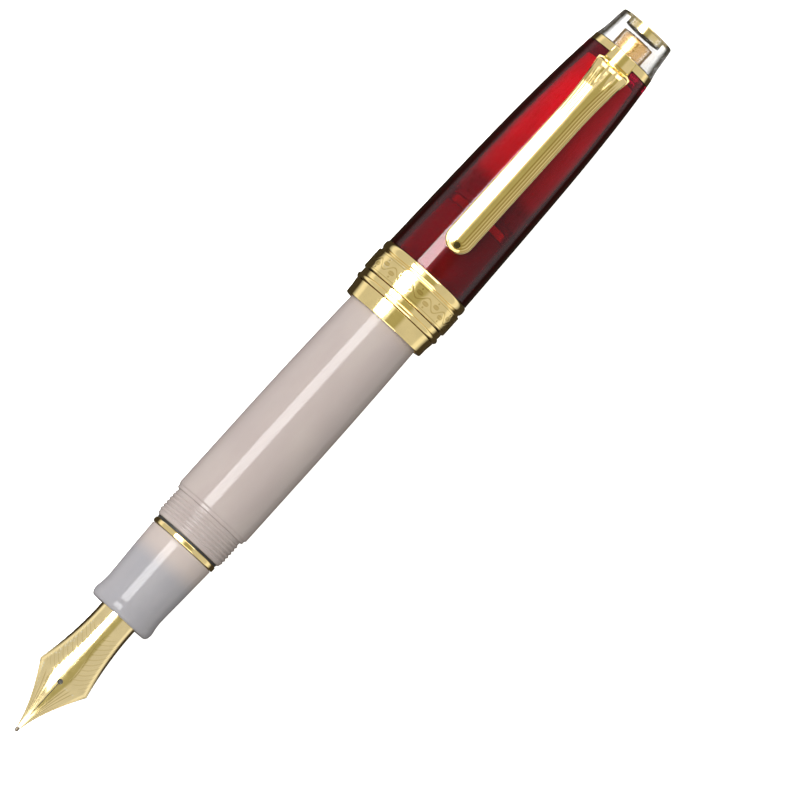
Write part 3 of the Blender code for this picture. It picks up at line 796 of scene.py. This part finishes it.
def make_finial(clear, gold, warm_gold):
    """Clear puck over the gold clip ring, the stud whose head it covers, and the disc in its end."""
    width = length_of("clip_ring")
    ring = rounded([(0.0, 5.56, 0.12), (width, 5.42, 0.12), (width, 1.9), (0.0, 1.9)], steps=6)
    install(turned("clip_collar", ring), "clip_ring", gold)
    end = length_of("finial")
    disc_back = end - 1.4
    outside = rounded([(0.0, 5.2), (0.0, 5.36, 0.1), (0.1, 5.33)], closed=False)
    outside += smooth([(0.2, 5.31), (1.35, 5.06), (end - 0.85, 4.72)], 8)
    outside += rounded([(end - 0.8, 4.71), (end, 4.6, 0.75), (end, 3.6), (end, 3.1, 0.05), (disc_back, 3.1)],
                       closed=False, steps=10)
    bore = [(3.05, 0.0), (3.05, 2.7), (0.0, 2.7)]
    install(turned("clear_finial", bore + outside + [(disc_back, 0.0)]), "finial", clear)
    disc_end = length_of("finial_medallion")
    disc = [(0.0, 0.0), (0.0, 3.0)]
    disc += rounded([(disc_end - 0.3, 3.0), (disc_end, 3.0, 0.12), (disc_end, 2.7)], closed=False)
    disc += [(disc_end, 2.55), (disc_end - 0.08, 2.45), (disc_end - 0.08, 2.35), (disc_end, 2.25)]
    disc += [(disc_end, 1.0), (disc_end - 0.06, 0.9), (disc_end, 0.8), (disc_end, 0.0)]
    install(turned("finial_disc", disc), "finial_medallion", gold)
    stud_end = length_of("finial_stud")
    shank = 1.8
    head = 2.6
    head_start = (start_of("finial") - start_of("finial_stud")) / MM
    root = shank - 0.14
    threads_end = head_start - 0.3
    stud = [(0.0, 0.0), (0.0, shank - 0.2), (0.2, shank - 0.15)] + rows(0.4, threads_end, root, 0.08)
    stud += rounded([(head_start - 0.1, shank), (head_start, shank), (head_start, head, 0.1),
                     (stud_end, head, 0.5), (stud_end, 0.6)], closed=False)
    stud.append((stud_end, 0.0))
    threads = helix(0.4, threads_end, 0.6, root, shank)
    install(turned("finial_screw", stud, sides=48, relief=threads), "finial_stud", warm_gold)


# ---- Clip -----------------------------------------------------------------------------------------

CLIP_HALF_WIDTH = 2.22
CLIP_CROWN = 5.5          # radius of the crown across the clip
CLIP_NECK_CROWNING = 1.8  # how much more the neck is crowned
CLIP_TOPS = [(0.0, 9.05), (2.3, 9.2), (5.8, 9.35), (15.8, 9.2), (25.8, 8.55), (31.8, 7.85), (34.8, 7.4),
             (36.25, 7.15), (36.35, 6.0), (36.7, 6.0), (36.8, 6.75), (38.8, 6.5)]
CLIP_UNDERSIDES = [(0.0, 7.6), (0.6, 7.5), (2.8, 7.45), (5.8, 7.95), (15.8, 7.85), (25.8, 7.35), (31.8, 6.75),
                   (34.8, 6.2), (36.4, 5.85), (36.8, 5.8), (38.8, 5.72)]
CLIP_FLARE_START = 25.8
CLIP_FLARE_END = 36.25
CLIP_FLARE = 0.78         # what the flare adds to the half width
CLIP_NECK_START = 36.6
CLIP_NECK_HALF_WIDTHS = [(CLIP_FLARE_END, 3.0), (CLIP_FLARE_END + 0.2, 2.6), (CLIP_NECK_START, 2.25),
                         (38.8, 2.1)]
CLIP_LOBES_BEND_AT = 35.2


def clip_half_width(along):
    """Round free end, parallel sides, a flare and a narrow neck."""
    if along < CLIP_HALF_WIDTH:
        away = 1.0 - along / CLIP_HALF_WIDTH
        return CLIP_HALF_WIDTH * sqrt(max(1.0 - away * away, 1e-4))
    if along > CLIP_FLARE_END:
        return blend(along, CLIP_NECK_HALF_WIDTHS)
    flare = max(along - CLIP_FLARE_START, 0.0) / (CLIP_FLARE_END - CLIP_FLARE_START)
    return CLIP_HALF_WIDTH + CLIP_FLARE * flare ** 2


def clip_edge(along, across):
    """Distance from a point on top of the clip to its outline seen from above."""
    if along < CLIP_HALF_WIDTH:
        return CLIP_HALF_WIDTH - hypot(along - CLIP_HALF_WIDTH, across)
    return clip_half_width(along) - abs(across)


def clip_grooves(along, across):
    """Depth of the lengthwise grooves, which run round the free end, and of the star of cuts in it."""
    edge = clip_edge(along, across)
    rim = 0.13
    pitch = 0.42
    groove_depth = 0.026
    grooved_width = 1.9
    depth = groove_depth * (0.5 - 0.5 * cos(2 * pi * (edge - rim) / pitch)) * ease((edge - rim) / 0.1)
    depth *= ease((grooved_width - edge) / 0.5)
    star_at = 1.2
    star_across = -0.25
    star_radius = 0.75
    rays = 11
    away = hypot(along - star_at, across - star_across)
    ray = atan2(across - star_across, along - star_at) / (2 * pi) * rays
    star = (0.042 + 0.02 * line((ray % 1.0) - 0.5, 0.36)) * ease((star_radius - away) / 0.35)
    return max(depth * ease((CLIP_LOBES_BEND_AT - along) / 3.0), star)


def clip_lobes(along, across):
    """How far three side-by-side lobes, which bend down at their ends, fall below the crown."""
    if along > CLIP_FLARE_END:
        return 0.0
    lobe_depth = 0.2
    bend_drop = 0.8
    lobes = ease((along - 31.8) / 3.0)
    share = (across / clip_half_width(along) + 1.0) * 1.5
    from_lobe_middle = 2.0 * (min(share, 2.999) % 1.0) - 1.0
    past_bend = max(along - CLIP_LOBES_BEND_AT, 0.0) / (CLIP_FLARE_END - CLIP_LOBES_BEND_AT)
    bend = bend_drop * (1.0 - sqrt(max(1.0 - past_bend ** 2, 0.0)))
    return lobe_depth * lobes * from_lobe_middle ** 2 + bend


def clip_top(along, across):
    """Height of the top face: a grooved crown that ends in lobes before a more strongly crowned neck."""
    crown = CLIP_CROWN - sqrt(CLIP_CROWN ** 2 - across ** 2)
    if along > CLIP_NECK_START:
        crown *= CLIP_NECK_CROWNING
    nose_length = 1.6
    nose_drop = 0.55
    nose = nose_drop * (1.0 - sqrt(1.0 - (1.0 - min(along / nose_length, 1.0)) ** 2))
    edge_round = 0.25 * (1.0 - ease(clip_edge(along, across) / 0.22))
    height = blend(along, CLIP_TOPS) - crown - nose - clip_grooves(along, across)
    return height - edge_round - clip_lobes(along, across)


def clip_section(along):
    """A closed ring of points: across the top, down one side, back under and up the other side."""
    top_steps = 84
    side_steps = 4
    tuck = 0.12
    least_thickness = 0.05
    width = clip_half_width(along)
    under = blend(along, CLIP_UNDERSIDES)
    top = []
    for step in range(top_steps + 1):
        even = 2.0 * step / top_steps - 1.0
        across = width * (sin(pi / 2 * even) * 0.35 + 0.65 * even)
        top.append((along, across, max(clip_top(along, across), under + least_thickness)))
    edge_height = top[-1][2]
    sides = [edge_height + (under - edge_height) * step / side_steps for step in range(1, side_steps)]
    corner = width - tuck * width / 3
    right = [(along, width, height) for height in sides]
    bottom = [(along, corner, under), (along, 0.0, under), (along, -corner, under)]
    left = [(along, -width, height) for height in reversed(sides)]
    return top + right + bottom + left


def make_clip(gold):
    """Long bar with a rounded free end, a contact pad under it, and a flared root over the ring."""
    nose_steps = 22
    places = [CLIP_HALF_WIDTH * (1.0 - cos(pi / 2 * step / nose_steps)) for step in range(1, nose_steps)]
    places += [place for place, _ in rows(CLIP_HALF_WIDTH, 31.0, 0.0, 0.6)]
    places += [place for place, _ in rows(31.2, length_of("clip"), 0.0, 0.1)]
    sections = [clip_section(along) for along in places]
    mesh = lofted("pocket_clip", sections, sharp=50, recess_of=lambda point: clip_grooves(point.x, point.y))
    install(mesh, "clip", gold)


# ---- Converter ------------------------------------------------------------------------------------

def make_converter(clear, black, steel):
    """The fixed pieces: mouth, tube, band and the bush that guides the rod."""
    small = 48
    mouth = rounded([(0.0, 1.55), (0.0, 3.4, 0.1), (0.3, 3.6, 0.1), (5.1, 3.6, 0.08), (5.1, 2.65),
                     (7.8, 2.65, 0.1), (7.8, 1.2), (4.4, 1.2), (4.4, 1.55)])
    install(turned("ink_inlet", mouth, small), "converter_mouth", black)
    tube_length = length_of("converter_tube")
    tube = rounded([(0.0, 2.75), (0.0, 3.2, 0.1), (tube_length, 3.2, 0.1), (tube_length, 2.75)])
    install(turned("ink_tube", tube, small), "converter_tube", clear)
    bush = rounded([(0.0, 1.6), (0.0, 2.65, 0.1), (3.4, 2.65), (3.4, 3.1), (6.8, 3.1, 0.1), (6.8, 2.2),
                    (9.4, 2.2, 0.1), (9.4, 1.6)])
    install(turned("rod_bush", bush, small), "converter_bush", black)
    width = length_of("converter_band")
    band = rounded([(0.0, 3.3), (0.0, 3.6, 0.08), (width - 0.9, 3.6, 0.05), (width - 0.8, 3.5, 0.05),
                    (width - 0.6, 3.5, 0.05), (width - 0.5, 3.6, 0.05), (width, 3.6, 0.08), (width, 3.3)])
    install(turned("converter_collar", band, small), "converter_band", steel)


def make_knob(black, steel):
    """Hollow fluted knob, and the screw fixed in its end."""
    length = length_of("converter_knob")
    outer = 2.88
    outside = rounded([(0.0, 2.3), (0.0, 2.72, 0.05), (0.25, outer, 0.1), (0.9, outer)], closed=False)
    outside += rows(1.0, length - 1.2, outer, 0.35)
    outside += rounded([(length - 1.1, outer), (length, 2.75, 0.4), (length, 0.95), (length - 1.0, 0.95)],
                       closed=False)
    bore = [(length - 1.0, 1.7), (1.9, 1.7), (1.9, 2.3)]
    grip = flutes(1.0, length - 1.2, 24, outer, 0.16)
    install(turned("filling_knob", outside + bore, sides=192, relief=grip), "converter_knob", black)
    reach = length_of("converter_spindle")
    root = 0.62
    crest = 0.8
    threads_end = reach - 12.9
    screw = [(0.0, 0.0), (0.0, 0.5), (0.1, root - 0.02)] + rows(0.3, threads_end, root, 0.12)
    screw += [(reach - 12.7, crest), (reach, crest), (reach, 0.0)]
    threads = helix(0.3, threads_end, 1.7, root, crest)
    install(turned("piston_screw", screw, sides=32, relief=threads), "converter_spindle", steel)


def make_piston(clear, rubber):
    """The rod, bored from behind for the screw, and the seal with two lips round its front end."""
    length = length_of("piston_rod")
    rod = [(0.0, 0.0), (0.0, 1.3), (4.1, 1.3), (4.1, 1.45), (length, 1.45), (length, 0.95)]
    rod += [(6.0, 0.95), (6.0, 0.0)]
    install(turned("push_rod", rod, 32), "piston_rod", clear)
    edge = 2.66
    end = length_of("piston_seal")
    seal = rounded([(0.0, 1.4), (0.0, edge, 0.1), (0.6, edge, 0.1), (1.1, 2.35, 0.2), (2.3, 2.35, 0.2),
                    (2.9, edge, 0.1), (end, edge, 0.1), (end, 1.4)])
    install(turned("piston_packing", seal, 48), "piston_seal", rubber)


# ---- Studio ---------------------------------------------------------------------------------------

WHITE = (1.0, 1.0, 1.0)


def make_plane(name, depth):
    """A wide level plane, `depth` millimetres below the pen, that reflections and clear pieces don't show."""
    bpy.ops.mesh.primitive_plane_add(size=6.0, location=(0.0, 0.0, -depth * MM))
    plane = bpy.context.object
    plane.name = name
    plane.visible_glossy = False
    plane.visible_transmission = False
    return plane


def make_floor():
    """Pale table. Only the camera sees it, so that polished pieces keep dark outlines."""
    floor = make_plane("studio_floor", 0.05)
    floor.visible_diffuse = False
    material = surface("pale_floor", {"Roughness": 0.9, "Specular IOR Level": 0.1, "Emission Strength": 0.75,
                                      "Emission Color": (*WHITE, 1.0)})
    speckle = ranged(material, noise(material, 40.0), 0.0, 1.0)
    colour = mixed(material, speckle, (0.9, 0.9, 0.895), (0.92, 0.92, 0.915))
    link(material, colour, socket(material, "Base Color"))
    floor.data.materials.append(material)


def make_bounce_card():
    """Soft light from below for dull surfaces, in place of the floor that they don't see."""
    card = make_plane("bounce_card", 0.1)
    card.visible_camera = False
    glow = {"Base Color": (0.0, 0.0, 0.0, 1.0), "Emission Strength": 0.8, "Emission Color": (*WHITE, 1.0)}
    card.data.materials.append(surface("bounce_light", glow))


STRIP_START = -38.0       # degrees round the pen's axis, from straight up; negative is the +Y side
STRIP_END = -12.5
STRIP_REACH = 17.0        # degrees each way along the pen


def light_ramp(world, share, stops, brightest):
    """Colours round the pen's axis from (degrees, light, tint) stops."""
    ramp = add(world, "ValToRGB")
    elements = ramp.color_ramp.elements
    while len(elements) < len(stops):
        elements.new(0.5)
    for element, (degrees, light, tint) in zip(elements, stops):
        element.position = (degrees + 180.0) / 360.0
        element.color = [channel * light / brightest for channel in tint] + [1.0]
    link(world, share, ramp.inputs[0])
    return ramp.outputs[0]


def make_world():
    """Soft light all round the pen's axis: a bright strip beside the camera, paler walls, dark below."""
    world = bpy.data.worlds.new("studio")
    bpy.context.scene.world = world
    world.use_nodes = True
    direction = add(world, "TexCoord")
    split = add(world, "SeparateXYZ")
    link(world, direction.outputs["Generated"], split.inputs["Vector"])
    flip = add(world, "Math", operation="MULTIPLY")
    flip.inputs[1].default_value = -1.0
    link(world, split.outputs["Y"], flip.inputs[0])
    angle = add(world, "Math", operation="ARCTAN2")
    link(world, flip.outputs[0], angle.inputs[0])
    link(world, split.outputs["Z"], angle.inputs[1])
    share = add(world, "MapRange")
    share.inputs["From Min"].default_value = -pi
    share.inputs["From Max"].default_value = pi
    link(world, angle.outputs[0], share.inputs["Value"])
    brightest = 14.0
    lens_side = (1.0, 0.97, 0.6)
    warm_dark = (1.0, 0.8, 0.55)
    left = [(-124, 0.055, warm_dark), (-115, 0.65, WHITE), (-108, 1.0, WHITE), (-98, 0.95, WHITE)]
    left.append((-92, 0.66, WHITE))
    strip = [(STRIP_START - 2, 0.66, WHITE), (STRIP_START, brightest, WHITE), (STRIP_END, brightest, WHITE),
             (STRIP_END + 2, 1.3, WHITE), (-5, 1.1, WHITE)]
    no_strip = [(-16, 0.66, WHITE), (-12, 0.8, WHITE), (-5, 0.8, WHITE)]
    right = [(-1, 0.42, lens_side), (24, 0.42, lens_side), (33, 0.66, WHITE)]
    right += [(-degrees, light, tint) for degrees, light, tint in reversed(left)]
    far = light_ramp(world, share.outputs[0], left + no_strip + right, brightest)
    near = light_ramp(world, share.outputs[0], left + strip + right, brightest)
    aside = add(world, "Math", operation="ABSOLUTE")
    link(world, split.outputs["X"], aside.inputs[0])
    fade = 5.0
    inner = sin(radians(STRIP_REACH - fade))
    outer = sin(radians(STRIP_REACH + fade))
    beside = ranged(world, aside.outputs[0], 1.0, 0.0, inner, outer)
    background = world.node_tree.nodes["Background"]
    background.inputs["Strength"].default_value = brightest
    link(world, mixed(world, beside, far, near), background.inputs["Color"])


def aimed_light(name, kind, direction, distance):
    """A light that shines at the pen from a direction; its X side lies level."""
    data = bpy.data.lights.new(name, kind)
    light = bpy.data.objects.new(name, data)
    bpy.context.scene.collection.objects.link(light)
    light.location = Vector(direction).normalized() * distance + Vector((0.0, 0.0, AXIS_HEIGHT))
    light.rotation_euler = Vector(direction).to_track_quat("Z", "Y").to_euler()
    light.visible_camera = False
    light.visible_transmission = False
    return light


def round_pen(degrees):
    """The direction at an angle round the pen's axis."""
    return (0.0, -sin(radians(degrees)), cos(radians(degrees)))


SOFTBOX_DISTANCE = 1.5    # metres


def make_softbox(name, direction, length, width, luminance):
    """A rectangular light that only reflections show."""
    softbox = aimed_light(name, "AREA", direction, SOFTBOX_DISTANCE)
    softbox.data.shape = "RECTANGLE"
    softbox.data.size = length
    softbox.data.size_y = width
    softbox.data.energy = 4 * luminance * length * width
    softbox.visible_diffuse = False


def make_lights():
    """Softboxes for the bright strip and beyond the pen's two ends, and a soft fill on the -Y side."""
    strip_length = 2 * SOFTBOX_DISTANCE * tan(radians(STRIP_REACH))
    strip_width = 2 * SOFTBOX_DISTANCE * tan(radians(STRIP_END - STRIP_START) / 2)
    strip_middle = (STRIP_START + STRIP_END) / 2
    make_softbox("strip_softbox", round_pen(strip_middle), strip_length, strip_width, 8.0)
    for name, side in (("nib_end_softbox", -1.0), ("cap_end_softbox", 1.0)):
        make_softbox(name, (side * 0.8, 0.0, 0.6), 1.6, 1.2, 1.8)
    fill = aimed_light("fill", "SUN", round_pen(35.0), SOFTBOX_DISTANCE)
    fill.data.energy = 0.47
    fill.data.angle = radians(60)
    fill.visible_glossy = False


def make_camera():
    """A long lens above the pen, turned so that the nib points to the lower left."""
    lean_to_nib = radians(2.8)
    lean_across = radians(1.2)
    turn = radians(47.95)
    frame_width = 0.1176
    lens = 600.0
    sensor = 36.0
    back = Vector((-sin(lean_to_nib), sin(lean_across), cos(lean_to_nib))).normalized()
    pen = Vector((1.0, 0.0, 0.0))
    level = (pen - pen.dot(back) * back).normalized()
    side = back.cross(level)
    right = cos(turn) * level - sin(turn) * side
    up = sin(turn) * level + cos(turn) * side
    aim_right = 0.00994
    aim_down = 0.00301
    aim = Vector((0.0, 0.0, AXIS_HEIGHT)) + aim_right * right - aim_down * up
    distance = frame_width / 2 * lens / (sensor / 2)
    data = bpy.data.cameras.new("camera")
    data.lens = lens
    data.sensor_width = sensor
    camera = bpy.data.objects.new("camera", data)
    bpy.context.scene.collection.objects.link(camera)
    place = aim + back * distance
    camera.matrix_world = Matrix(((right.x, up.x, back.x, place.x), (right.y, up.y, back.y, place.y),
                                  (right.z, up.z, back.z, place.z), (0, 0, 0, 1)))
    bpy.context.scene.camera = camera


# ---- The pen --------------------------------------------------------------------------------------

def main():
    gold = make_gold()
    steel = make_steel()
    rose_grey = make_rose_grey()
    clear = make_clear_resin()
    black = moulded("black_plastic", (0.01, 0.01, 0.0102), 0.4)
    rubber = moulded("black_rubber", (0.012, 0.0115, 0.0115), 0.6, grain=0.08)
    make_barrel(rose_grey)
    make_tail(rose_grey, gold)
    make_grip(make_smoky())
    make_connector(rose_grey)
    make_section_rings(gold, rubber)
    make_nib(make_nib_gold())
    make_tipping(make_hard_metal())
    make_feed(black)
    make_cap_tube(make_red_resin())
    make_inner_cap(make_red_liner())
    make_bands(gold)
    make_finial(clear, gold, make_warm_gold())
    make_clip(gold)
    make_converter(clear, black, steel)
    make_knob(black, steel)
    make_piston(clear, rubber)
    make_floor()
    make_bounce_card()
    make_world()
    make_lights()
    make_camera()
    bpy.context.scene.view_settings.view_transform = "Standard"


main()
